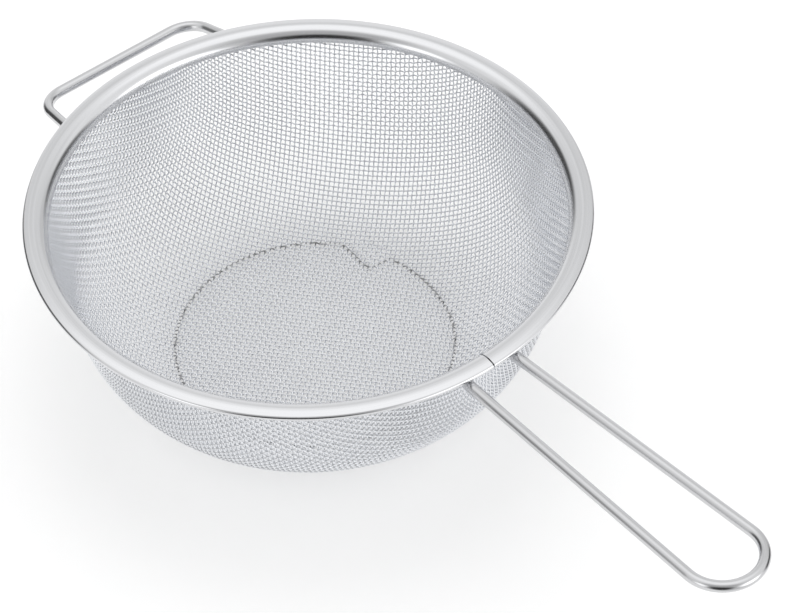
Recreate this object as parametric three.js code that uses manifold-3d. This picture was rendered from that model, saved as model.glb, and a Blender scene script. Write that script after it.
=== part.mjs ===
// Fine mesh strainer: a bowl of woven wire cloth pressed with a flat base, its edge gripped
// by a folded rim band, with a wire hairpin handle and a wire rest loop welded under the rim.
// Millimetres, +Z up. The origin is the centre of the flat base on its resting face.
// +X runs out along the handle, and the rest loop lies on the -X side.
import * as THREE from 'three';
import { mergeVertices } from 'three/addons/utils/BufferGeometryUtils.js';
import Module from 'manifold-3d';

// Overall form
const overallHeight = 70.9;
const rimRadius = 100;
const clearance = 0.3;

// Rim band, a folded strip whose outer hem is closed and whose two skirts grip the cloth
const rimWidth = 8.8;
const stripThickness = 0.5;
const hemHeight = 2.8;
const hemEdgeRadius = 0.9;
const shoulderRadius = 4.9;
const crownRadius = 8.9;
const skirtFoot = 0.2;
const skirtBendRadius = 0.6;
const seamGap = 0.5;
const seamOffset = -0.6;

// Cloth bowl
const clothThickness = 1.2;
const clothGrip = 2;
const wallLean = THREE.MathUtils.degToRad(13);
const heelRadius = 48;
const baseRadius = 51.1;

// Pucker in the crease round the base: azimuth in degrees, inset of the crease in millimetres
const pucker = [[60, 0], [80, 0.7], [107.5, 0.7], [112, 9], [118, 7.4], [130, 0]];

// A plain grid of openings stands for the weave's, which are about a twelfth as wide
const gridPitch = 20;
const gridBar = 6;
const wallColumns = 24;
const weaveAzimuth = THREE.MathUtils.degToRad(40.8);

// Handle wire
const handleWireDiameter = 4;
const handleRootSpacing = 20.6;
const handleEndRadius = 13.8;
const handleReach = 122.2;
const handleRise = THREE.MathUtils.degToRad(2.6);

// Rest loop wire
const restWireDiameter = 4;
const restRootSpacing = 75;
const restBarSpan = 69;
const restReach = 14.5;
const restCornerRadius = 10.7;
const restDrop = THREE.MathUtils.degToRad(11.5);

// Weld beads at the wire ends
const beadRadius = 0.9;

// Facets
const roundSegments = 72;
const wireSides = 12;
const wireStep = 3.4;

// Places that several pieces share
const rimInner = rimRadius - rimWidth;
const hemUnderside = overallHeight - hemHeight;
const skirtBottom = overallHeight - shoulderRadius - skirtFoot;
const clothRadius = rimInner + stripThickness + clearance + clothThickness / 2 / Math.cos(wallLean);
const clampInner = clothRadius + (clothThickness / 2 + clearance) / Math.cos(wallLean);
const clampOuter = clampInner + stripThickness / Math.cos(wallLean);
const clampTop = clampOuter + (hemUnderside - skirtBottom) * Math.tan(wallLean);
const wireSeatRadius = clampTop + 2 * clearance + 2 * beadRadius;

const wasm = await Module();
wasm.setup();

// Geometry helpers

function arcPoints(centreR, centreZ, radius, from, to, steps) {
  const points = [];
  for (let i = 0; i <= steps; i += 1) {
    const angle = from + ((to - from) * i) / steps;
    points.push(new THREE.Vector2(centreR + radius * Math.cos(angle), centreZ + radius * Math.sin(angle)));
  }
  return points;
}

function weld(geometry) {
  const bare = geometry.index ? geometry : geometry.clone();
  bare.deleteAttribute('normal');
  bare.deleteAttribute('uv');
  return mergeVertices(bare, 1e-4);
}

function toSolid(geometry) {
  const merged = weld(geometry);
  const vertProperties = new Float32Array(merged.getAttribute('position').array);
  const triVerts = new Uint32Array(merged.index.array);
  return new wasm.Manifold(new wasm.Mesh({ numProp: 3, vertProperties, triVerts }));
}

function toGeometry(solid) {
  const { vertProperties, triVerts } = solid.getMesh();
  const geometry = new THREE.BufferGeometry();
  geometry.setAttribute('position', new THREE.BufferAttribute(new Float32Array(vertProperties), 3));
  geometry.setIndex(new THREE.BufferAttribute(new Uint32Array(triVerts), 1));
  geometry.computeVertexNormals();
  return geometry;
}

// Turns a profile in (radius, height) about Z.
function revolve(profile) {
  return new THREE.LatheGeometry(profile, roundSegments).rotateX(Math.PI / 2);
}

// Offsets an open line to one side by a distance, with mitred corners.
function offsetLine(points, distance) {
  return points.map((point, i) => {
    const before = points[Math.max(i - 1, 0)];
    const after = points[Math.min(i + 1, points.length - 1)];
    const inDirection = point.clone().sub(i === 0 ? after : before).normalize();
    if (i === 0) inDirection.negate();
    const outDirection = after.clone().sub(i === points.length - 1 ? before : point).normalize();
    const mitre = inDirection.clone().add(outDirection).normalize();
    const stretch = 1 / mitre.dot(inDirection);
    return new THREE.Vector2(-mitre.y, mitre.x).multiplyScalar(distance * stretch).add(point);
  });
}

// An arc in space, turning from direction u towards direction v.
class Arc3 extends THREE.Curve {
  constructor(centre, u, v, radius, sweep) {
    super();
    Object.assign(this, { centre, u, v, radius, sweep });
  }

  getPoint(t, target = new THREE.Vector3()) {
    const angle = this.sweep * t;
    return target
      .copy(this.centre)
      .addScaledVector(this.u, this.radius * Math.cos(angle))
      .addScaledVector(this.v, this.radius * Math.sin(angle));
  }
}

function roundWire(path, diameter) {
  const section = new THREE.Shape();
  section.absarc(0, 0, diameter / 2, 0, 2 * Math.PI);
  return new THREE.ExtrudeGeometry(section, {
    extrudePath: path,
    steps: Math.ceil(path.getLength() / wireStep),
    curveSegments: wireSides / 2,
    bevelEnabled: false,
  });
}

// Cloth bowl

// Side of the bowl on the cloth's middle line: a heel that is tangent to the leaning wall and
// passes through the crease, and the straight run of the wall above it, up to the rim.
function bowlSide() {
  const top = new THREE.Vector2(clothRadius, skirtBottom);
  const down = new THREE.Vector2(-Math.sin(wallLean), -Math.cos(wallLean));
  const inward = new THREE.Vector2(-Math.cos(wallLean), Math.sin(wallLean));
  const crease = new THREE.Vector2(baseRadius, clothThickness / 2);
  const offset = top.clone().addScaledVector(inward, heelRadius).sub(crease);
  const along = offset.dot(down);
  const run = -along - Math.sqrt(along * along - offset.lengthSq() + heelRadius * heelRadius);
  const centre = crease.clone().add(offset).addScaledVector(down, run);
  const creaseAngle = Math.atan2(crease.y - centre.y, crease.x - centre.x);
  const heelLength = heelRadius * (-wallLean - creaseAngle);
  return { top, down, centre, creaseAngle, heelLength, length: heelLength + run };
}

// Point on the side of the bowl, by the distance along it from the crease.
function sidePoint(side, distance) {
  if (distance > side.heelLength) {
    return side.top.clone().addScaledVector(side.down, side.length - distance);
  }
  const angle = side.creaseAngle + distance / heelRadius;
  const outward = new THREE.Vector2(Math.cos(angle), Math.sin(angle));
  return side.centre.clone().addScaledVector(outward, heelRadius);
}

// Middle line of the cloth, from the centre of the base out over the crease and up into the rim,
// with a point at the start, middle and end of each row of openings up the side.
function clothLine() {
  const side = bowlSide();
  const rows = Math.round(side.length / gridPitch);
  const rowPitch = side.length / rows;
  const line = [new THREE.Vector2(0, clothThickness / 2), sidePoint(side, 0)];
  for (let row = 0; row < rows; row += 1) {
    const from = row * rowPitch + gridBar / 2;
    const to = (row + 1) * rowPitch - gridBar / 2;
    line.push(sidePoint(side, from), sidePoint(side, (from + to) / 2), sidePoint(side, to));
  }
  line.push(side.top, side.top.clone().addScaledVector(side.down, -clothGrip));
  return line;
}

// Inset of the crease at an azimuth in degrees, straight between the points of the pucker.
function creaseInset(azimuth) {
  for (let i = 1; i < pucker.length; i += 1) {
    const [fromAngle, fromInset] = pucker[i - 1];
    const [toAngle, toInset] = pucker[i];
    if (azimuth >= fromAngle && azimuth <= toAngle) {
      return THREE.MathUtils.mapLinear(azimuth, fromAngle, toAngle, fromInset, toInset);
    }
  }
  return 0;
}

// Azimuths round one ring of the cloth: the left edge, middle and right edge of each column's
// openings, which leave bars of one width between them.
function ringAngles(radius) {
  const half = Math.PI / wallColumns - gridBar / 2 / radius;
  const angles = [];
  for (let column = 0; column < wallColumns; column += 1) {
    const middle = weaveAzimuth + ((column + 0.5) * 2 * Math.PI) / wallColumns;
    angles.push(middle - half, middle, middle + half);
  }
  return angles;
}

// The cloth as a closed sheet, with rows of openings up the side and the pucker in its crease.
function clothSheet() {
  const line = clothLine();
  const faces = [offsetLine(line, -clothThickness / 2), offsetLine(line, clothThickness / 2)];
  const aroundCount = 3 * wallColumns;
  const lastRing = line.length - 1;
  const lastOpenBand = lastRing - 3;
  const position = [];
  const index = [];
  for (const face of faces) {
    position.push(0, 0, face[0].y);
    for (let ring = 1; ring <= lastRing; ring += 1) {
      for (const azimuth of ringAngles(line[ring].x)) {
        const degrees = THREE.MathUtils.euclideanModulo(THREE.MathUtils.radToDeg(azimuth), 360);
        const radius = face[ring].x - (ring === 1 ? creaseInset(degrees) : 0);
        position.push(radius * Math.cos(azimuth), radius * Math.sin(azimuth), face[ring].y);
      }
    }
  }
  const outer = (ring, around) => 1 + (ring - 1) * aroundCount + (around % aroundCount);
  const toInner = 1 + lastRing * aroundCount;
  // A cell lies above its ring and after its place round it. Every third one is a bar.
  const isOpen = (ring, around) => {
    const inRow = ring >= 2 && ring <= lastOpenBand && (ring - 2) % 3 < 2;
    return ring === lastRing || (inRow && (around + aroundCount) % 3 < 2);
  };
  const addQuad = (a, b, c, d) => index.push(a, b, c, a, c, d);
  for (let around = 0; around < aroundCount; around += 1) {
    const [a, b] = [outer(1, around), outer(1, around + 1)];
    index.push(b, a, 0);
    index.push(a + toInner, b + toInner, toInner);
    for (let ring = 1; ring < lastRing; ring += 1) {
      if (isOpen(ring, around)) continue;
      const below = [outer(ring, around), outer(ring, around + 1)];
      const above = [outer(ring + 1, around + 1), outer(ring + 1, around)];
      const corners = [...below, ...above];
      addQuad(...corners);
      addQuad(...corners.map((corner) => corner + toInner).reverse());
      const beside = [
        ring > 1 && isOpen(ring - 1, around),
        isOpen(ring, around + 1),
        isOpen(ring + 1, around),
        isOpen(ring, around - 1),
      ];
      beside.forEach((open, k) => {
        if (!open) return;
        const [from, to] = [corners[k], corners[(k + 1) % 4]];
        addQuad(to, from, from + toInner, to + toInner);
      });
    }
  }
  const geometry = new THREE.BufferGeometry();
  geometry.setAttribute('position', new THREE.Float32BufferAttribute(position, 3));
  geometry.setIndex(index);
  return geometry;
}

// Square punches for the base, in the weave's direction, with bars crossing at its centre and
// the outer ones trimmed inside the crease.
function basePunches() {
  const opening = gridPitch - gridBar;
  const reach = baseRadius - gridBar;
  const disc = new THREE.CylinderGeometry(reach, reach, gridPitch, roundSegments).rotateX(Math.PI / 2);
  const trim = toSolid(disc);
  const count = Math.ceil(reach / gridPitch);
  const punches = [];
  for (let i = -count; i < count; i += 1) {
    for (let j = -count; j < count; j += 1) {
      const x = (i + 0.5) * gridPitch;
      const y = (j + 0.5) * gridPitch;
      if (Math.hypot(x, y) < reach) {
        const punch = new THREE.BoxGeometry(opening, opening, gridPitch / 2);
        punches.push(toSolid(punch.translate(x, y, 0).rotateZ(weaveAzimuth)).intersect(trim));
      }
    }
  }
  return punches;
}

function meshBowl() {
  let cloth = toSolid(clothSheet());
  for (const punch of basePunches()) {
    cloth = cloth.subtract(punch);
  }
  return toGeometry(cloth);
}

// Rim band

// Section of the folded strip: a round shoulder up from the cloth, a flatter crown that falls to
// the hem's edge, and the hem's underside turned down into the outer skirt along the wall.
function rimSection() {
  const quarter = Math.PI / 2;
  const skirtTurn = 2 * quarter - wallLean;
  const topR = rimInner + shoulderRadius;
  const edgeR = rimRadius - hemEdgeRadius;
  const toEdge = crownRadius - hemEdgeRadius;
  const fall = Math.asin((edgeR - topR) / toEdge);
  const shoulder = [topR, overallHeight - shoulderRadius];
  const crown = [topR, overallHeight - crownRadius];
  const upperEdge = [edgeR, overallHeight - crownRadius + toEdge * Math.cos(fall)];
  const lowerEdge = [edgeR, hemUnderside + hemEdgeRadius];
  const bendZ = hemUnderside - skirtBendRadius;
  const bendOut = (bendZ - skirtBottom) * Math.tan(wallLean) + skirtBendRadius / Math.cos(wallLean);
  const bend = [clampOuter + bendOut, bendZ];
  const edgeInside = hemEdgeRadius - stripThickness;
  return [
    new THREE.Vector2(rimInner, skirtBottom),
    ...arcPoints(...shoulder, shoulderRadius, 2 * quarter, quarter, 5),
    ...arcPoints(...crown, crownRadius, quarter, quarter - fall, 2).slice(1, -1),
    ...arcPoints(...upperEdge, hemEdgeRadius, quarter - fall, 0, 2),
    ...arcPoints(...lowerEdge, hemEdgeRadius, 0, -quarter, 2),
    ...arcPoints(...bend, skirtBendRadius, quarter, skirtTurn, 2),
    new THREE.Vector2(clampOuter, skirtBottom),
    new THREE.Vector2(clampInner, skirtBottom),
    ...arcPoints(...bend, skirtBendRadius + stripThickness, skirtTurn, quarter, 2),
    ...arcPoints(...lowerEdge, edgeInside, -quarter, 0, 1),
    ...arcPoints(...upperEdge, edgeInside, 0, quarter - fall, 1),
    ...arcPoints(...crown, crownRadius - stripThickness, quarter - fall, quarter, 2).slice(1, -1),
    ...arcPoints(...shoulder, shoulderRadius - stripThickness, quarter, 2 * quarter, 4),
    new THREE.Vector2(rimInner + stripThickness, skirtBottom),
    new THREE.Vector2(rimInner, skirtBottom),
  ];
}

// The hoop is closed by a butt seam between the legs of the handle, a little to one side.
function rimBand() {
  const hoop = toSolid(revolve(rimSection().reverse()));
  const cutter = new THREE.BoxGeometry(2 * rimWidth, seamGap, 3 * shoulderRadius);
  cutter.translate(rimRadius, seamOffset, overallHeight);
  return toGeometry(hoop.subtract(toSolid(cutter)));
}

// Wires

// Distance from the axis, along X, at which a wire whose centre lies at y ends under the hem.
function wireEnd(y, wireDiameter) {
  const inside = Math.abs(y) - wireDiameter / 2;
  return Math.sqrt(wireSeatRadius ** 2 - inside ** 2);
}

// Two straight legs that spread a little and join in a round end, tangent to both.
function handlePath() {
  const endCentre = rimRadius + handleReach - handleEndRadius;
  const rootSide = handleRootSpacing / 2;
  // Angle by which each leg leans out, from the tangent to the end's circle.
  const toCentre = Math.hypot(endCentre - rimRadius, rootSide);
  const spread = Math.asin(handleEndRadius / toCentre) - Math.asin(rootSide / toCentre);
  const heightAtRim = hemUnderside - clearance - handleWireDiameter / 2 / Math.cos(handleRise);
  const place = (x, y) => new THREE.Vector3(x, y, heightAtRim + (x - rimRadius) * Math.tan(handleRise));
  const start = wireEnd(rootSide, handleWireDiameter);
  const startSide = rootSide - (rimRadius - start) * Math.tan(spread);
  const tangentX = endCentre - handleEndRadius * Math.sin(spread);
  const tangentSide = handleEndRadius * Math.cos(spread);
  const centre = place(endCentre, 0);
  const out = new THREE.Vector3(Math.cos(handleRise), 0, Math.sin(handleRise));
  const left = new THREE.Vector3(0, 1, 0);
  const from = left.clone().multiplyScalar(Math.cos(spread)).addScaledVector(out, -Math.sin(spread));
  const turn = out.clone().multiplyScalar(Math.cos(spread)).addScaledVector(left, Math.sin(spread));
  const path = new THREE.CurvePath();
  path.add(new THREE.LineCurve3(place(start, startSide), place(tangentX, tangentSide)));
  path.add(new Arc3(centre, from, turn, handleEndRadius, Math.PI + 2 * spread));
  path.add(new THREE.LineCurve3(place(tangentX, -tangentSide), place(start, -startSide)));
  return path;
}

// A bar outside the rim with two legs back under the hem, bent down a little to hook on a pot.
function restPath() {
  const rootSide = restRootSpacing / 2;
  const start = wireEnd(rootSide, restWireDiameter);
  const heightAtEnd = hemUnderside - clearance - restWireDiameter / 2 / Math.cos(restDrop);
  const slope = Math.tan(restDrop);
  const place = (x, y) => new THREE.Vector3(-x, y, heightAtEnd - (x - start) * slope);
  const barX = rimRadius + restReach;
  const root = place(start, rootSide);
  const corner = place(barX, restBarSpan / 2);
  const legBack = root.clone().sub(corner).normalize();
  const barIn = new THREE.Vector3(0, -1, 0);
  const halfAngle = legBack.angleTo(barIn) / 2;
  const setBack = restCornerRadius / Math.tan(halfAngle);
  const bisector = legBack.clone().add(barIn).normalize();
  const centre = corner.clone().addScaledVector(bisector, restCornerRadius / Math.sin(halfAngle));
  const legEnd = corner.clone().addScaledVector(legBack, setBack);
  const barStart = corner.clone().addScaledVector(barIn, setBack);
  const mirror = (v) => new THREE.Vector3(v.x, -v.y, v.z);
  const fromLeg = legEnd.clone().sub(centre).normalize();
  const sweep = Math.PI - 2 * halfAngle;
  const towards = legBack.clone().negate();
  const path = new THREE.CurvePath();
  path.add(new THREE.LineCurve3(root, legEnd));
  path.add(new Arc3(centre, fromLeg, towards, restCornerRadius, sweep));
  path.add(new THREE.LineCurve3(barStart, mirror(barStart)));
  const fromBar = mirror(barStart.clone().sub(centre).normalize());
  path.add(new Arc3(mirror(centre), fromBar, barIn.clone(), restCornerRadius, sweep));
  path.add(new THREE.LineCurve3(mirror(legEnd), mirror(root)));
  return path;
}

// Weld bead in the corner under the hem, behind the end of a wire.
function weldBead(wireDiameter) {
  return new THREE.CapsuleGeometry(beadRadius, wireDiameter, 4, 10);
}

// Finishes
const satinSteel = { color: 0xd6d7da, metalness: 1, roughness: 0.26 };
const polishedSteel = { color: 0xdcdde0, metalness: 1, roughness: 0.16 };
const clothSteel = { color: 0xc9cbcf, metalness: 1, roughness: 0.36 };
const weldSteel = { color: 0xa9a9ab, metalness: 1, roughness: 0.48 };

// Assembly

function piece(name, geometry, finish) {
  const mesh = new THREE.Mesh(geometry, new THREE.MeshStandardMaterial(finish));
  mesh.name = name;
  return mesh;
}

const strainer = new THREE.Group();
strainer.add(piece('mesh_bowl', meshBowl(), clothSteel));
strainer.add(piece('rim_band', rimBand(), satinSteel));
strainer.add(piece('handle_wire', roundWire(handlePath(), handleWireDiameter), polishedSteel));
strainer.add(piece('rest_loop', roundWire(restPath(), restWireDiameter), polishedSteel));

function addWelds(prefix, wireDiameter, rootSpacing, facing) {
  const beadDistance = clampTop + clearance + beadRadius;
  const swing = Math.asin(rootSpacing / 2 / wireSeatRadius);
  for (const [side, sign] of [['left', 1], ['right', -1]]) {
    const bead = piece(`${prefix}_weld_${side}`, weldBead(wireDiameter), weldSteel);
    bead.position.set(beadDistance, 0, hemUnderside - clearance - beadRadius);
    const turntable = new THREE.Group();
    turntable.rotation.z = facing + sign * swing;
    turntable.add(bead);
    strainer.add(turntable);
  }
}

addWelds('handle', handleWireDiameter, handleRootSpacing, 0);
addWelds('rest', restWireDiameter, restRootSpacing, Math.PI);

export default strainer;
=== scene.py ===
"""Looks of a fine mesh strainer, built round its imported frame.

Named sizes are in millimetres and named angles in degrees, unless a comment says otherwise.
Meshes are written in metres. +X runs out along the handle, +Z is up, and the origin is the
centre of the flat base. Azimuths run from +X towards +Y.
"""

import math

import bpy
import numpy as np
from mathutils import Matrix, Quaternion, Vector


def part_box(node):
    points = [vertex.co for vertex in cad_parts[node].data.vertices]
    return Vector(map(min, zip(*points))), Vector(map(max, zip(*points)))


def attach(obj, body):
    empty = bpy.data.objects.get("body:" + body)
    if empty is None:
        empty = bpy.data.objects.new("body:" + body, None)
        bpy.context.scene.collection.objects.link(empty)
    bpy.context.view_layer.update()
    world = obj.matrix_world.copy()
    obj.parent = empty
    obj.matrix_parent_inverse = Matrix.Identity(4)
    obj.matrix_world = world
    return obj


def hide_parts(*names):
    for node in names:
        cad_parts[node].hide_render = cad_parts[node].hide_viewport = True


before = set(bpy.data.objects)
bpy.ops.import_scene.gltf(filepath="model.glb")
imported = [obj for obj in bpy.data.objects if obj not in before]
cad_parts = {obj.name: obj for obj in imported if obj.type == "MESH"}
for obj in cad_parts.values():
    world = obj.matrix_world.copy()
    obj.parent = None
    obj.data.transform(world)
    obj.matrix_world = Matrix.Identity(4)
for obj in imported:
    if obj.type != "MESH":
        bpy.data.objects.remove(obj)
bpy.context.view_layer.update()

METRES = 0.001
BODY = "root"
WHITE = (1, 1, 1, 1)

# Overall sizes, from the frame
rim_low, rim_high = (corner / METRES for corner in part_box("rim_band"))
handle_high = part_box("handle_wire")[1] / METRES
rest_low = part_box("rest_loop")[0] / METRES
RIM_RADIUS = rim_high.y
RIM_TOP = rim_high.z
SKIRT_BOTTOM = rim_low.z

# Rim band, a folded strip
RIM_WIDTH = 8.8
STRIP = 0.5
HEM_HEIGHT = 2.8
HEM_EDGE_RADIUS = 1.1
SHOULDER_RADIUS = 4.9
CROWN_RADIUS = 8.9
SKIRT_BEND_RADIUS = 0.6
SEAM_GAP = 0.5
SEAM_OFFSET = -0.6
CLEARANCE = 0.3
RIM_STEPS = 360
BEND_STEPS = 8
RIM_SHARP_ANGLE = 35

# Cloth
CLOTH_THICKNESS = 1.2
CLOTH_WIRE = CLOTH_THICKNESS / 2
CLOTH_GRIP = 2
WEAVE_PITCH = 1.8
WEAVE_AZIMUTH = 40.8
WALL_LEAN = 13
HEEL_RADIUS = 48
BASE_RADIUS = 51.1

# How the cloth is made: sides of its wires, steps from crossing to crossing, more of them within
# reach of the crease, fewest crossings of a wire, and groups of wires in each direction
CLOTH_SIDES = 6
CLOTH_STEPS = 4
CREASE_STEPS = 8
CREASE_REACH = 4
LEAST_CROSSINGS = 3
CLOTH_GROUPS = 6

# Spare size of the net of crossings, as a multiple, and rounds that settle each of them
NET_SPARE = 1.2
NET_ROUNDS = 8

# Height of a wire's lane in the cloth's map, as a multiple of the wire's own turn
LANE = 1.15

# Crease round the base: a small ridge, drawn in at a pucker given as azimuth and inset
RIDGE_HEIGHT = 0.4
RIDGE_WIDTH = 0.6
RIDGE_REACH = 4 * RIDGE_WIDTH
PUCKER = [(60, 0), (80, 0.7), (107.5, 0.7), (112, 9), (118, 7.4), (130, 0)]
PUCKER_SLOPE = 6
# Width of the painted shade along the crease, in millimetres
CREASE_SHADE_WIDTH = 0.45

# Wires
WIRE = 4
WIRE_SIDES = 32
WIRE_STEP = 1
WIRE_BEND_STEP = 0.5
WIRE_SHARP_ANGLE = 50
HANDLE_ROOT_SPACING = 20.6
HANDLE_END_RADIUS = 13.8
HANDLE_RISE = 2.6
REST_ROOT_SPACING = 75
REST_BAR_SPAN = 69
REST_CORNER_RADIUS = 10.7
REST_DROP = 11.5
HANDLE_REACH = handle_high.x - WIRE / 2 - RIM_RADIUS
REST_REACH = -rest_low.x - WIRE / 2 - RIM_RADIUS

# Welds: beads with waves of lumps, each given as share of the radius, waves along and waves round
BEAD_RADIUS = 0.9
BEAD_FULLNESS = 0.88
BEAD_BLUNTNESS = 0.4
BEAD_LUMPS = [(0.06, 5, 2), (0.05, 9, -3)]
BEAD_RINGS = 23
BEAD_SIDES = 24

# Places that several pieces share
LEAN_COS = math.cos(math.radians(WALL_LEAN))
LEAN_TAN = math.tan(math.radians(WALL_LEAN))
RIM_INNER = RIM_RADIUS - RIM_WIDTH
HEM_UNDERSIDE = RIM_TOP - HEM_HEIGHT
CLOTH_RADIUS = RIM_INNER + STRIP + CLEARANCE + CLOTH_THICKNESS / 2 / LEAN_COS
CLAMP_INNER = CLOTH_RADIUS + (CLOTH_THICKNESS / 2 + CLEARANCE) / LEAN_COS
CLAMP_OUTER = CLAMP_INNER + STRIP / LEAN_COS
CLAMP_TOP = CLAMP_OUTER + (HEM_UNDERSIDE - SKIRT_BOTTOM) * LEAN_TAN
WIRE_SEAT_RADIUS = CLAMP_TOP + 2 * CLEARANCE + 2 * BEAD_RADIUS

# Finishes: colours from dark to light, and roughness, as a noise goes from 0 to 1.
# Noise is scaled per metre, but the rim's first number is per radian round the hoop, and the
# wire's are per millimetre along it and per turn about it. Depths of bumps are in metres.
CLOTH_COLOURS = (0.768, 0.78, 0.806), (0.848, 0.86, 0.886)
CLOTH_ROUGHNESS = 0.07, 0.15
CLOTH_PATCHES = 60
# Painted shade along the crease of the base: its near-black colour, and how far it covers the cloth's
# own colour
CREASE_SHADE_COLOUR = (0.07, 0.066, 0.06, 1)
CREASE_SHADE_MIX = 0.7
RIM_COLOURS = (0.66, 0.665, 0.68), (0.74, 0.745, 0.76)
RIM_ROUGHNESS = 0.12, 0.24
RIM_LINES = (1.2, 2200, 2200)
RIM_BUMP_STRENGTH = 0.06
RIM_BUMP_DEPTH = 0.00002
WIRE_COLOURS = (0.585, 0.588, 0.6), (0.66, 0.663, 0.675)
WIRE_ROUGHNESS = 0.15, 0.25
WIRE_LINES = (0.05, 40, 1)
WELD_COLOURS = (0.3, 0.29, 0.28), (0.5, 0.49, 0.47)
WELD_ROUGHNESS = 0.35, 0.6
WELD_GRAIN = 900
WELD_BUMP_STRENGTH = 0.3
WELD_BUMP_DEPTH = 0.0001

# Camera
CAMERA_TARGET = (37.29, 9.43, 42.5)
CAMERA_AZIMUTH = -38.86
CAMERA_ELEVATION = 45.95
CAMERA_DISTANCE = 1156.5
CAMERA_ROLL = -1.383
CAMERA_LENS = 148.83
CAMERA_SENSOR = 36

# Studio: sizes and distance in metres, and what the key and the room each give the open floor,
# where 1 in all makes it as bright as its own colour
FLOOR_SIZE = 0.6
FLOOR_COLOUR = 0.83
FLOOR_GLOW = 0.28
FLOOR_ROUGHNESS = 0.9
KEY_AZIMUTH = 141
KEY_ELEVATION = 65
KEY_DISTANCE = 1.8
KEY_SIZE = 1.4
KEY_LIGHT = 0.12
ROOM_LIGHT = 0.87

# What polished steel shows of the room: dark cards and bright screens with soft edges,
# each given as azimuth, elevation, radius and light
CARD_SOFTNESS = 0.4
CARDS = [
    (-45, 7, 25, 0.04),
    (-45, 44, 27, 0.7),
    (-40, 6, 60, 0.76),
    (-126, 12, 20, 0.87),
    (-152, 3, 28, 0.08),
    (75, -2, 20, 0.12),
    (97, 6, 20, 0.74),
    (110, 40, 20, 0.84),
    (141, 48, 13, 0.9),
    (168, 36, 17, 0.84),
    (150, 80, 30, 1.27),
    (-80, 10, 15, 2.2),
    (16, 6, 20, 2.6),
]


# Helpers


def unit(vectors):
    return vectors / np.linalg.norm(vectors, axis=-1, keepdims=True)


def towards(azimuth, elevation):
    """Unit vector at an azimuth and an elevation."""
    azimuth, elevation = math.radians(azimuth), math.radians(elevation)
    level = math.cos(elevation)
    return level * math.cos(azimuth), level * math.sin(azimuth), math.sin(elevation)


def arc(centre_r, centre_z, radius, start, end, steps):
    angles = np.radians(np.linspace(start, end, steps + 1))
    return np.stack([centre_r + radius * np.cos(angles), centre_z + radius * np.sin(angles)], -1)


def ring_quads(rings, sides):
    """Quads between each closed ring of vertices and the next."""
    row = np.arange(rings - 1)[:, None] * sides
    column = np.arange(sides)[None, :]
    after = (column + 1) % sides
    corners = [row + column, row + after, row + after + sides, row + column + sides]
    return np.stack(corners, -1).reshape(-1, 4)


def tube(points, ups, radius, sides):
    """Vertices and quads of a round tube with flat ends, and the distance along it of each ring."""
    along = unit(np.gradient(points, axis=0))
    sideways = unit(np.cross(along, ups))
    ups = np.cross(sideways, along)
    turn = 2 * np.pi * (np.arange(sides) / sides)[:, None, None]
    ring = np.cos(turn) * ups + np.sin(turn) * sideways
    vertices = (points + radius * ring).transpose(1, 0, 2).reshape(-1, 3)
    count = len(points)
    fan = np.arange(1, sides - 1, 2)[:, None]
    cap = np.concatenate([0 * fan, fan, fan + 1, fan + 2], 1)
    last_ring = (count - 1) * sides
    quads = np.concatenate([ring_quads(count, sides), cap[:, ::-1], cap + last_ring])
    step = np.linalg.norm(np.diff(points, axis=0), axis=1)
    distance = np.concatenate([[0], np.cumsum(step)])
    return vertices, quads[:, ::-1], distance


def tube_map(distance, sides):
    """Map coordinates for each corner of a tube's quads: distance along, and a turn from 0 to 1."""
    count = len(distance)
    row = np.repeat(np.arange(count - 1), sides)
    column = np.tile(np.arange(sides), count - 1)
    low, high = distance[row], distance[row + 1]
    left, right = column / sides, (column + 1) / sides
    corners = [(low, left), (low, right), (high, right), (high, left)]
    sides_map = np.stack([np.stack(corner, -1) for corner in corners], 1)
    cap_count = sides - 2
    caps = np.zeros((cap_count, 4, 2))
    caps[cap_count // 2:, :, 0] = distance[-1]
    return np.concatenate([sides_map, caps])[:, ::-1]


def add_object(name, data):
    item = bpy.data.objects.new(name, data)
    bpy.context.scene.collection.objects.link(item)
    return item


def new_piece(name, vertices, faces, material, nodes, maps=None, crease_shade=None):
    """Adds a smooth mesh piece that stands for CAD nodes and rides with them.

    maps holds each map's corner coordinates by name, and the last argument holds the painted shade
    along the crease, a number from 0 to 1 for each vertex.
    """
    mesh = bpy.data.meshes.new(name)
    mesh.from_pydata(np.asarray(vertices) * METRES, [], faces)
    for map_name, corners in (maps or {}).items():
        layer = mesh.uv_layers.new(name=map_name)
        layer.data.foreach_set("uv", np.asarray(corners, np.float32).ravel())
    # Painted shade along the crease, kept on the vertices for the cloth's material
    if crease_shade is not None:
        layer = mesh.attributes.new("crease_shade", "FLOAT", "POINT")
        layer.data.foreach_set("value", crease_shade.astype(np.float32))
    mesh.update()
    mesh.shade_smooth()
    mesh.materials.append(material)
    piece = add_object(name, mesh)
    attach(piece, BODY)
    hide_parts(*nodes)
    return piece


# Shader nodes


def new_material(name):
    material = bpy.data.materials.new(name)
    material.use_nodes = True
    tree = material.node_tree
    return material, tree, tree.nodes["Principled BSDF"]


def add_node(tree, kind, **values):
    """Adds a node, setting its properties, and its inputs by name where a key is no property."""
    node = tree.nodes.new(kind)
    for key, value in values.items():
        if hasattr(node, key):
            setattr(node, key, value)
        else:
            node.inputs[key.replace("_", " ").title()].default_value = value
    return node


def combine(tree, operation, first, second):
    """A number worked out from two others."""
    node = add_node(tree, "ShaderNodeMath", operation=operation)
    tree.links.new(first, node.inputs[0])
    tree.links.new(second, node.inputs[1])
    return node.outputs["Value"]


def scaled(tree, vector, factors):
    """A vector times a factor for each axis."""
    node = add_node(tree, "ShaderNodeVectorMath", operation="MULTIPLY")
    node.inputs[1].default_value = factors
    tree.links.new(vector, node.inputs[0])
    return node.outputs["Vector"]


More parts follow.
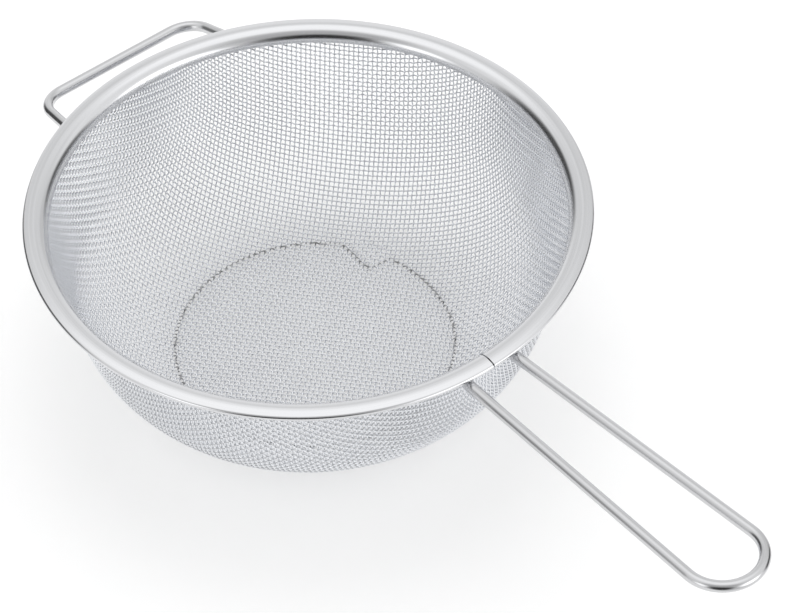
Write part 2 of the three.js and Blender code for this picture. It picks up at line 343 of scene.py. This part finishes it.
def noise(tree, vector, scale, detail):
    """A number from 0 to 1 that varies smoothly with a vector."""
    node = add_node(tree, "ShaderNodeTexNoise", scale=scale, detail=detail)
    tree.links.new(vector, node.inputs["Vector"])
    return node.outputs["Fac"]


def ramp(tree, source, low, high):
    """A number from low to high as the source goes from 0 to 1."""
    node = add_node(tree, "ShaderNodeMapRange", to_min=low, to_max=high)
    tree.links.new(source, node.inputs["Value"])
    return node.outputs["Result"]


def tinted(tree, source, dark, light):
    """A colour from dark to light as the source goes from 0 to 1."""
    node = add_node(tree, "ShaderNodeMix", data_type="RGBA")
    node.inputs["A"].default_value = (*dark, 1)
    node.inputs["B"].default_value = (*light, 1)
    tree.links.new(source, node.inputs["Factor"])
    return node.outputs["Result"]


def set_metal(tree, shader, colour, roughness):
    shader.inputs["Metallic"].default_value = 1
    tree.links.new(colour, shader.inputs["Base Color"])
    tree.links.new(roughness, shader.inputs["Roughness"])


def set_bump(tree, shader, height, strength, depth):
    bump = add_node(tree, "ShaderNodeBump", strength=strength, distance=depth)
    tree.links.new(height, bump.inputs["Height"])
    tree.links.new(bump.outputs["Normal"], shader.inputs["Normal"])


def light_path(tree, kinds):
    """1 for rays of any of these kinds, and 0 for others."""
    path = add_node(tree, "ShaderNodeLightPath")
    source = path.outputs[f"Is {kinds[0]} Ray"]
    for kind in kinds[1:]:
        source = combine(tree, "MAXIMUM", source, path.outputs[f"Is {kind} Ray"])
    return source


# Materials


def cloth_steel():
    """Bright wire, with painted shade near black along the crease of the base."""
    material, tree, shader = new_material("cloth_steel")
    place = add_node(tree, "ShaderNodeTexCoord").outputs["Object"]
    patches = noise(tree, place, CLOTH_PATCHES, detail=3)
    # Painted shade: the cloth's colour turns near black along the crease
    crease_shade = add_node(tree, "ShaderNodeAttribute", attribute_name="crease_shade").outputs["Fac"]
    colour = add_node(tree, "ShaderNodeMix", data_type="RGBA")
    colour.inputs["B"].default_value = CREASE_SHADE_COLOUR
    tree.links.new(tinted(tree, patches, *CLOTH_COLOURS), colour.inputs["A"])
    tree.links.new(ramp(tree, crease_shade, 0, CREASE_SHADE_MIX), colour.inputs["Factor"])
    set_metal(tree, shader, colour.outputs["Result"], ramp(tree, patches, *CLOTH_ROUGHNESS))
    return material


def rim_steel():
    """Bright strip with fine lines round the hoop from rolling."""
    material, tree, shader = new_material("rim_steel")
    place = add_node(tree, "ShaderNodeTexCoord").outputs["Object"]
    split = add_node(tree, "ShaderNodeSeparateXYZ")
    tree.links.new(place, split.inputs["Vector"])
    angle = combine(tree, "ARCTAN2", split.outputs["Y"], split.outputs["X"])
    radius = add_node(tree, "ShaderNodeVectorMath", operation="LENGTH")
    tree.links.new(scaled(tree, place, (1, 1, 0)), radius.inputs[0])
    strip = add_node(tree, "ShaderNodeCombineXYZ")
    tree.links.new(angle, strip.inputs["X"])
    tree.links.new(radius.outputs["Value"], strip.inputs["Y"])
    tree.links.new(split.outputs["Z"], strip.inputs["Z"])
    lines = noise(tree, scaled(tree, strip.outputs["Vector"], RIM_LINES), 1, detail=4)
    set_metal(tree, shader, tinted(tree, lines, *RIM_COLOURS), ramp(tree, lines, *RIM_ROUGHNESS))
    set_bump(tree, shader, lines, RIM_BUMP_STRENGTH, RIM_BUMP_DEPTH)
    return material


def wire_steel():
    """Bright drawn wire with faint lines along it."""
    material, tree, shader = new_material("wire_steel")
    run = add_node(tree, "ShaderNodeUVMap", uv_map="run").outputs["UV"]
    lines = noise(tree, scaled(tree, run, WIRE_LINES), 1, detail=3)
    set_metal(tree, shader, tinted(tree, lines, *WIRE_COLOURS), ramp(tree, lines, *WIRE_ROUGHNESS))
    return material


def weld_steel():
    """Dull, grainy metal."""
    material, tree, shader = new_material("weld_steel")
    place = add_node(tree, "ShaderNodeTexCoord").outputs["Object"]
    grain = noise(tree, place, WELD_GRAIN, detail=4)
    set_metal(tree, shader, tinted(tree, grain, *WELD_COLOURS), ramp(tree, grain, *WELD_ROUGHNESS))
    set_bump(tree, shader, grain, WELD_BUMP_STRENGTH, WELD_BUMP_DEPTH)
    return material


# Cloth bowl


class Bowl:
    """Middle surface of the cloth, by distance along its profile from the centre of the base."""

    def __init__(self):
        lean = math.radians(WALL_LEAN)
        down = np.array([-math.sin(lean), -math.cos(lean)])
        inward = np.array([-math.cos(lean), math.sin(lean)])
        self.up = -down
        self.base_height = CLOTH_WIRE
        self.wall_top = np.array([CLOTH_RADIUS, SKIRT_BOTTOM])
        crease = np.array([BASE_RADIUS, self.base_height])
        offset = self.wall_top + HEEL_RADIUS * inward - crease
        reach = offset @ down
        run = -reach - math.sqrt(reach**2 - offset @ offset + HEEL_RADIUS**2)
        self.centre = crease + offset + run * down
        from_centre = crease - self.centre
        self.start_angle = math.atan2(from_centre[1], from_centre[0])
        self.base_end = BASE_RADIUS
        self.heel_end = self.base_end + HEEL_RADIUS * (-lean - self.start_angle)
        self.wall_end = self.heel_end + run
        self.end = self.wall_end + CLOTH_GRIP

    def profile(self, distance):
        """Radius and height, and their rates, at distances along the profile."""
        angle = self.start_angle + (distance - self.base_end) / HEEL_RADIUS
        cos, sin = np.cos(angle), np.sin(angle)
        from_rim = distance - self.wall_end
        base = distance < self.base_end
        heel = distance < self.heel_end
        zero, one = np.zeros_like(distance), np.ones_like(distance)

        def pick(on_base, on_heel, on_wall):
            return np.select([base, heel], [on_base, on_heel], on_wall)

        heel_radius = self.centre[0] + HEEL_RADIUS * cos
        heel_height = self.centre[1] + HEEL_RADIUS * sin
        radius = pick(distance, heel_radius, self.wall_top[0] + from_rim * self.up[0])
        height = pick(one * self.base_height, heel_height, self.wall_top[1] + from_rim * self.up[1])
        radius_rate = pick(one, -sin, one * self.up[0])
        height_rate = pick(zero, cos, one * self.up[1])
        return radius, height, radius_rate, height_rate


def weave_net(bowl):
    """Crossings of one quarter of the cloth: a net of equal chords, laid from its two middle wires.

    Returns places and normals in arrays by wire numbers, with gaps (nan) past the cloth's edge.
    """
    count = int(NET_SPARE * bowl.end / WEAVE_PITCH)
    distance = np.full((count, count), np.nan)
    azimuth = np.full((count, count), np.nan)
    middle_wire = np.arange(count) * WEAVE_PITCH
    middle_wire[middle_wire > bowl.end] = np.nan
    distance[:, 0] = middle_wire
    distance[0, :] = middle_wire
    azimuth[:, 0] = 0
    azimuth[0, 1:] = math.pi / 2

    def place(s, a):
        """Places at distances along the profile and azimuths, and their rates with each."""
        radius, height, radius_rate, height_rate = bowl.profile(s)
        cos, sin = np.cos(a), np.sin(a)
        spot = np.stack([radius * cos, radius * sin, height], -1)
        along = np.stack([radius_rate * cos, radius_rate * sin, height_rate], -1)
        across = np.stack([-radius * sin, radius * cos, 0 * radius], -1)
        return spot, along, across

    for total in range(2, 2 * count - 1):
        i = np.arange(max(1, total - count + 1), min(count - 1, total - 1) + 1)
        j = total - i
        known = np.isfinite(distance[i - 1, j]) & np.isfinite(distance[i, j - 1])
        i, j = i[known], j[known]
        if not len(i):
            continue
        before = place(distance[i - 1, j], azimuth[i - 1, j])[0]
        beside = place(distance[i, j - 1], azimuth[i, j - 1])[0]
        corner_s = distance[i - 1, j - 1]
        corner = place(corner_s, azimuth[i - 1, j - 1])[0]
        guess = before + beside - corner
        a = np.arctan2(guess[:, 1], guess[:, 0])
        near_centre = corner_s < 2 * WEAVE_PITCH
        across_net = distance[i - 1, j] + distance[i, j - 1] - corner_s
        s = np.where(near_centre, np.hypot(guess[:, 0], guess[:, 1]), across_net)
        for _ in range(NET_ROUNDS):
            spot, along, across = place(s, a)
            to_before, to_beside = spot - before, spot - beside
            miss = np.stack([(to_before**2).sum(1), (to_beside**2).sum(1)], -1) - WEAVE_PITCH**2
            slope = 2 * np.stack([
                np.stack([(to_before * along).sum(1), (to_before * across).sum(1)], -1),
                np.stack([(to_beside * along).sum(1), (to_beside * across).sum(1)], -1),
            ], 1)
            step = np.linalg.solve(slope, miss[..., None])[..., 0]
            s = s - step[:, 0]
            a = a - step[:, 1]
        inside = s <= bowl.end
        distance[i[inside], j[inside]] = s[inside]
        azimuth[i[inside], j[inside]] = a[inside]
    spot = place(distance, azimuth)[0]
    *_, radius_rate, height_rate = bowl.profile(distance)
    inward = -height_rate
    normal = np.stack([inward * np.cos(azimuth), inward * np.sin(azimuth), radius_rate], -1)
    return spot, normal


def mirrored(quarter):
    """The whole net from one quarter, with the middle wires at the middle of the arrays."""
    half = np.concatenate([quarter[:0:-1] * (-1, 1, 1), quarter])
    return np.concatenate([half[:, :0:-1] * (1, -1, 1), half], 1)


def turned(points, degrees):
    cos, sin = math.cos(math.radians(degrees)), math.sin(math.radians(degrees))
    return points @ np.array([[cos, sin, 0], [-sin, cos, 0], [0, 0, 1]])


def pressed(points, bowl):
    """Points of the cloth lifted over the ridge of the crease, and their distances from it.

    Where the pucker draws the crease in, the cloth outside it is lifted too.
    """
    x, y, z = points.T
    radius = np.hypot(x, y)
    azimuth = np.degrees(np.arctan2(y, x))
    inset = np.interp(azimuth, *np.array(PUCKER, float).T, left=0, right=0)
    past = radius - (BASE_RADIUS - inset)
    slope = math.tan(math.radians(PUCKER_SLOPE))
    lifted = np.where(inset > 0, np.maximum(z, bowl.base_height + slope * past), z)
    lifted = lifted + RIDGE_HEIGHT * np.exp(-((past / RIDGE_WIDTH) ** 2))
    height = np.where(radius < BASE_RADIUS + RIDGE_REACH, lifted, z)
    return np.stack([x, y, height], -1), np.abs(past)


def cloth_wire(spots, normals, first_side, bowl):
    """One crimped wire through its crossings, over the first one if first_side is 1, under it if -1."""
    _, past = pressed(spots, bowl)
    close = np.minimum(past[:-1], past[1:]) < CREASE_REACH
    steps = np.where(close, CREASE_STEPS, CLOTH_STEPS)
    run = np.concatenate([k + np.arange(n) / n for k, n in enumerate(steps)] + [[len(spots) - 1]])
    at = np.arange(len(spots))
    points = np.stack([np.interp(run, at, spots[:, axis]) for axis in range(3)], -1)
    ups = unit(np.stack([np.interp(run, at, normals[:, axis]) for axis in range(3)], -1))
    points, past = pressed(points, bowl)
    # Painted shade along the crease: 1 on the ridge, fading within its width
    crease_shade = np.exp(-((past / CREASE_SHADE_WIDTH) ** 2))
    crimp = first_side * CLOTH_WIRE / 2 * np.cos(math.pi * run)
    points = points + crimp[:, None] * ups
    vertices, quads, distance = tube(points, ups, CLOTH_WIRE / 2, CLOTH_SIDES)
    return vertices, quads, tube_map(distance, CLOTH_SIDES), np.repeat(crease_shade, CLOTH_SIDES)


def cloth_pieces(name, spots, normals, side, bowl, material):
    """The wires along the second number of the net, in a few pieces of neighbouring wires."""
    wires = []
    for number, (row, row_normals) in enumerate(zip(spots, normals)):
        there = np.isfinite(row[:, 0])
        if there.sum() < LEAST_CROSSINGS:
            continue
        first = int(np.argmax(there))
        first_side = side if (number + first) % 2 == 0 else -side
        wires.append(cloth_wire(row[there], row_normals[there], first_side, bowl))
    share = np.cumsum([len(quads) for _, quads, _, _ in wires])
    groups = (CLOTH_GROUPS * (share - 1) / share[-1]).astype(int)
    for number in range(CLOTH_GROUPS):
        members = [wire for wire, group in zip(wires, groups) if group == number]
        vertices, quads, corners, crease_shade = zip(*members)
        starts = np.cumsum([0] + [len(part) for part in vertices])
        quads = np.concatenate([part + start for part, start in zip(quads, starts)])
        longest = max(part[..., 0].max() for part in corners)
        lanes = [
            (part / (longest, LANE) + (0, lane)) / (1, len(members))
            for lane, part in enumerate(corners)
        ]
        maps = {"OFBake": np.concatenate(lanes)}
        new_piece(f"cloth_{name}_{number + 1}", np.concatenate(vertices), quads, material,
                  ["mesh_bowl"], maps, np.concatenate(crease_shade))


def build_cloth():
    bowl = Bowl()
    spot, normal = weave_net(bowl)
    spots = turned(mirrored(spot), WEAVE_AZIMUTH)
    normals = turned(mirrored(normal), WEAVE_AZIMUTH)
    material = cloth_steel()
    cloth_pieces("warp", spots, normals, 1, bowl, material)
    cloth_pieces("weft", spots.transpose(1, 0, 2), normals.transpose(1, 0, 2), -1, bowl, material)


# Rim band


def rim_section():
    """Closed outline of the folded strip in radius and height, from the foot of the inner skirt."""
    top_r, edge_r = RIM_INNER + SHOULDER_RADIUS, RIM_RADIUS - HEM_EDGE_RADIUS
    to_edge = CROWN_RADIUS - HEM_EDGE_RADIUS
    fall = math.degrees(math.asin((edge_r - top_r) / to_edge))
    shoulder = (top_r, RIM_TOP - SHOULDER_RADIUS)
    crown = (top_r, RIM_TOP - CROWN_RADIUS)
    upper = (edge_r, crown[1] + to_edge * math.cos(math.radians(fall)))
    lower = (edge_r, HEM_UNDERSIDE + HEM_EDGE_RADIUS)
    bend_z = HEM_UNDERSIDE - SKIRT_BEND_RADIUS
    bend_r = CLAMP_OUTER + (bend_z - SKIRT_BOTTOM) * LEAN_TAN + SKIRT_BEND_RADIUS / LEAN_COS
    bend = (bend_r, bend_z)
    skirt = 180 - WALL_LEAN
    inside = HEM_EDGE_RADIUS - STRIP
    return np.concatenate([
        [(RIM_INNER, SKIRT_BOTTOM)],
        arc(*shoulder, SHOULDER_RADIUS, 180, 90, 3 * BEND_STEPS),
        arc(*crown, CROWN_RADIUS, 90, 90 - fall, BEND_STEPS)[1:-1],
        arc(*upper, HEM_EDGE_RADIUS, 90 - fall, 0, BEND_STEPS),
        arc(*lower, HEM_EDGE_RADIUS, 0, -90, BEND_STEPS),
        arc(*bend, SKIRT_BEND_RADIUS, 90, skirt, BEND_STEPS),
        [(CLAMP_OUTER, SKIRT_BOTTOM), (CLAMP_INNER, SKIRT_BOTTOM)],
        arc(*bend, SKIRT_BEND_RADIUS + STRIP, skirt, 90, BEND_STEPS),
        arc(*lower, inside, -90, 0, BEND_STEPS // 2),
        arc(*upper, inside, 0, 90 - fall, BEND_STEPS // 2),
        arc(*crown, CROWN_RADIUS - STRIP, 90 - fall, 90, BEND_STEPS)[1:-1],
        arc(*shoulder, SHOULDER_RADIUS - STRIP, 90, 180, 3 * BEND_STEPS),
        [(RIM_INNER + STRIP, SKIRT_BOTTOM)],
    ])


def build_rim():
    """The section swept round the hoop from one side of the butt seam to the other."""
    section = rim_section()
    radius, height = section.T
    start = np.arcsin((SEAM_OFFSET + SEAM_GAP / 2) / radius)
    end = np.arcsin((SEAM_OFFSET - SEAM_GAP / 2) / radius) + 2 * math.pi
    share = np.linspace(0, 1, RIM_STEPS + 1)[:, None]
    azimuth = start + share * (end - start)
    x, y = radius * np.cos(azimuth), radius * np.sin(azimuth)
    vertices = np.stack([x, y, height + 0 * azimuth], -1).reshape(-1, 3)
    count = len(section)
    faces = ring_quads(RIM_STEPS + 1, count).tolist()
    faces.append(list(range(count))[::-1])
    faces.append([RIM_STEPS * count + k for k in range(count)])
    rim = new_piece("rim_strip", vertices, faces, rim_steel(), ["rim_band"])
    rim.data.set_sharp_from_angle(angle=math.radians(RIM_SHARP_ANGLE))


# Wires


def wire_end(side):
    """Distance along X, from the axis, at which a wire that far to the side ends under the hem."""
    return math.sqrt(WIRE_SEAT_RADIUS**2 - (abs(side) - WIRE / 2) ** 2)


def straight(start, end):
    """Points of a straight stretch, without its last point."""
    count = int(np.linalg.norm(end - start) / WIRE_STEP)
    return start + (end - start) * np.linspace(0, 1, count, endpoint=False)[:, None]


def bend_between(centre, start, end, radius):
    """Points of an arc about a centre from a start to an end, without its last point."""
    u = unit(start - centre)
    v = end - centre
    v = unit(v - (v @ u) * u)
    sweep = math.atan2((end - centre) @ v, (end - centre) @ u)
    count = int(sweep * radius / WIRE_BEND_STEP)
    angle = np.linspace(0, sweep, count, endpoint=False)[:, None]
    return centre + radius * (np.cos(angle) * u + np.sin(angle) * v)


def mirrored_path(half, middle):
    """A path along a half, a middle stretch and the half's mirror image across the handle's plane."""
    return np.concatenate([half, middle, half[::-1] * (1, -1, 1)])


def handle_path():
    end_centre = RIM_RADIUS + HANDLE_REACH - HANDLE_END_RADIUS
    root_side = HANDLE_ROOT_SPACING / 2
    to_centre = math.hypot(end_centre - RIM_RADIUS, root_side)
    spread = math.asin(HANDLE_END_RADIUS / to_centre) - math.asin(root_side / to_centre)
    rise = math.radians(HANDLE_RISE)
    height = HEM_UNDERSIDE - CLEARANCE - WIRE / 2 / math.cos(rise)

    def place(x, y):
        return np.array([x, y, height + (x - RIM_RADIUS) * math.tan(rise)])

    start = wire_end(root_side)
    root = place(start, root_side - (RIM_RADIUS - start) * math.tan(spread))
    leg_end = place(
        end_centre - HANDLE_END_RADIUS * math.sin(spread),
        HANDLE_END_RADIUS * math.cos(spread),
    )
    out = np.array([math.cos(rise), 0, math.sin(rise)])
    left = np.array([0, 1, 0])
    half_sweep = math.pi / 2 + spread
    count = int(2 * half_sweep * HANDLE_END_RADIUS / WIRE_BEND_STEP)
    angle = np.linspace(half_sweep, -half_sweep, count)[:, None]
    bend = place(end_centre, 0) + HANDLE_END_RADIUS * (np.cos(angle) * out + np.sin(angle) * left)
    return mirrored_path(straight(root, leg_end), bend)


def rest_path():
    root_side = REST_ROOT_SPACING / 2
    start = wire_end(root_side)
    drop = math.radians(REST_DROP)
    height = HEM_UNDERSIDE - CLEARANCE - WIRE / 2 / math.cos(drop)

    def place(x, y):
        return np.array([-x, y, height - (x - start) * math.tan(drop)])

    root = place(start, root_side)
    corner = place(RIM_RADIUS + REST_REACH, REST_BAR_SPAN / 2)
    leg_back = unit(root - corner)
    bar_in = np.array([0, -1, 0])
    half_angle = math.acos(leg_back @ bar_in) / 2
    set_back = REST_CORNER_RADIUS / math.tan(half_angle)
    centre = corner + unit(leg_back + bar_in) * REST_CORNER_RADIUS / math.sin(half_angle)
    leg_end = corner + set_back * leg_back
    bar_start = corner + set_back * bar_in
    bar_end = bar_start * (1, -1, 1)
    bend = bend_between(centre, leg_end, bar_start, REST_CORNER_RADIUS)
    half = np.concatenate([straight(root, leg_end), bend])
    bar = np.concatenate([straight(bar_start, bar_end), [bar_end]])
    return mirrored_path(half, bar)


def build_wire(name, path, node, material):
    ups = np.tile([0.0, 0.0, 1.0], (len(path), 1))
    vertices, quads, distance = tube(path, ups, WIRE / 2, WIRE_SIDES)
    maps = {"run": tube_map(distance, WIRE_SIDES)}
    wire = new_piece(name, vertices, quads, material, [node], maps)
    wire.data.set_sharp_from_angle(angle=math.radians(WIRE_SHARP_ANGLE))


# Welds


def weld_bead(node):
    """Vertices and faces of an uneven bead along the hoop, in the corner under the hem."""
    low, high = (np.array(corner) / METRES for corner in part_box(node))
    middle = (low + high) / 2
    outward = unit(middle * (1, 1, 0))
    along = np.array([-outward[1], outward[0], 0])
    up = np.array([0, 0, 1])
    half_length = WIRE / 2 + BEAD_RADIUS
    lean = np.linspace(-math.pi / 2, math.pi / 2, BEAD_RINGS + 2)[1:-1, None]
    turn = 2 * math.pi * np.arange(BEAD_SIDES) / BEAD_SIDES
    lumps = sum(size * np.sin(waves * lean + turns * turn) for size, waves, turns in BEAD_LUMPS)
    radius = BEAD_RADIUS * np.cos(lean) ** BEAD_BLUNTNESS * (BEAD_FULLNESS + lumps)
    reach = half_length * np.sin(lean) + 0 * turn
    ring = np.cos(turn)[:, None] * up + np.sin(turn)[:, None] * outward
    body = middle + reach[..., None] * along + radius[..., None] * ring
    ends = [middle - half_length * along, middle + half_length * along]
    vertices = np.concatenate([body.reshape(-1, 3), ends])
    faces = ring_quads(BEAD_RINGS, BEAD_SIDES).tolist()
    first_end, last_end = len(vertices) - 2, len(vertices) - 1
    last_ring = (BEAD_RINGS - 1) * BEAD_SIDES
    for side in range(BEAD_SIDES):
        after = (side + 1) % BEAD_SIDES
        faces.append([side, first_end, after])
        faces.append([last_ring + side, last_ring + after, last_end])
    return vertices, faces


def build_welds():
    material = weld_steel()
    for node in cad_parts:
        if "_weld_" in node:
            vertices, faces = weld_bead(node)
            new_piece(f"{node}_bead", vertices, faces, material, [node])


# Stage


def add_camera():
    camera = add_object("camera", bpy.data.cameras.new("camera"))
    bpy.context.scene.camera = camera
    back = Vector(towards(CAMERA_AZIMUTH, CAMERA_ELEVATION))
    camera.location = (Vector(CAMERA_TARGET) + CAMERA_DISTANCE * back) * METRES
    roll = Quaternion((0, 0, 1), math.radians(CAMERA_ROLL))
    camera.rotation_mode = "QUATERNION"
    camera.rotation_quaternion = (-back).to_track_quat("-Z", "Y") @ roll
    camera.data.lens = CAMERA_LENS
    camera.data.sensor_width = CAMERA_SENSOR


def card_light(tree, azimuth, elevation, radius, light):
    """A factor on the room's light by direction: light in a round card or screen, and 1 outside it."""
    direction = add_node(tree, "ShaderNodeTexCoord").outputs["Generated"]
    facing = add_node(tree, "ShaderNodeVectorMath", operation="DOT_PRODUCT")
    facing.inputs[1].default_value = towards(azimuth, elevation)
    tree.links.new(direction, facing.inputs[0])
    edge = add_node(
        tree,
        "ShaderNodeMapRange",
        interpolation_type="SMOOTHSTEP",
        from_min=math.cos(math.radians(radius * (1 + CARD_SOFTNESS))),
        from_max=math.cos(math.radians(radius * (1 - CARD_SOFTNESS))),
        to_min=1,
        to_max=light,
    )
    tree.links.new(facing.outputs["Value"], edge.inputs["Value"])
    return edge.outputs["Result"]


def add_world():
    """White where it is seen, and in mirrors a pale room with the cards and screens."""
    world = bpy.data.worlds.new("studio")
    bpy.context.scene.world = world
    world.use_nodes = True
    tree = world.node_tree
    background = tree.nodes["Background"]
    background.inputs["Color"].default_value = WHITE
    room = card_light(tree, *CARDS[0])
    for card in CARDS[1:]:
        room = combine(tree, "MULTIPLY", room, card_light(tree, *card))
    mirror = combine(tree, "MULTIPLY", light_path(tree, ["Glossy"]), room)
    seen = light_path(tree, ["Camera", "Transmission"])
    diffuse = ramp(tree, light_path(tree, ["Diffuse"]), 0, ROOM_LIGHT)
    strength = combine(tree, "ADD", combine(tree, "ADD", mirror, seen), diffuse)
    tree.links.new(strength, background.inputs["Strength"])


def add_floor():
    """A white sheet that glows a little and keeps the object's shadow."""
    half = FLOOR_SIZE / 2
    corners = [(-half, -half, 0), (half, -half, 0), (half, half, 0), (-half, half, 0)]
    mesh = bpy.data.meshes.new("floor")
    mesh.from_pydata(corners, [], [(0, 1, 2, 3)])
    material, tree, shader = new_material("floor")
    shader.inputs["Base Color"].default_value = (FLOOR_COLOUR, FLOOR_COLOUR, FLOOR_COLOUR, 1)
    shader.inputs["Roughness"].default_value = FLOOR_ROUGHNESS
    shader.inputs["Specular IOR Level"].default_value = 0
    shader.inputs["Emission Color"].default_value = WHITE
    seen = light_path(tree, ["Camera", "Glossy", "Transmission"])
    tree.links.new(ramp(tree, seen, 0, FLOOR_GLOW), shader.inputs["Emission Strength"])
    mesh.materials.append(material)
    floor = add_object("floor", mesh)


def add_key():
    """A round lamp that lights the floor and throws the object's shadow, out of mirrors' sight."""
    facing = Vector(towards(KEY_AZIMUTH, KEY_ELEVATION))
    half_angle = math.atan2(KEY_SIZE / 2, KEY_DISTANCE)
    radiance = KEY_LIGHT / (math.sin(half_angle) ** 2 * facing.z)
    area = math.pi * KEY_SIZE**2 / 4
    lamp = bpy.data.lights.new("key", "AREA")
    lamp.shape = "DISK"
    lamp.size = KEY_SIZE
    lamp.energy = radiance * math.pi * area
    key = add_object("key", lamp)
    key.location = KEY_DISTANCE * facing
    key.rotation_mode = "QUATERNION"
    key.rotation_quaternion = (-facing).to_track_quat("-Z", "Y")
    key.visible_glossy = False


add_camera()
build_cloth()
build_rim()
wire_material = wire_steel()
build_wire("handle_hairpin", handle_path(), "handle_wire", wire_material)
build_wire("rest_hook", rest_path(), "rest_loop", wire_material)
build_welds()
add_world()
add_floor()
add_key()

bpy.context.scene.view_settings.view_transform = "Standard"
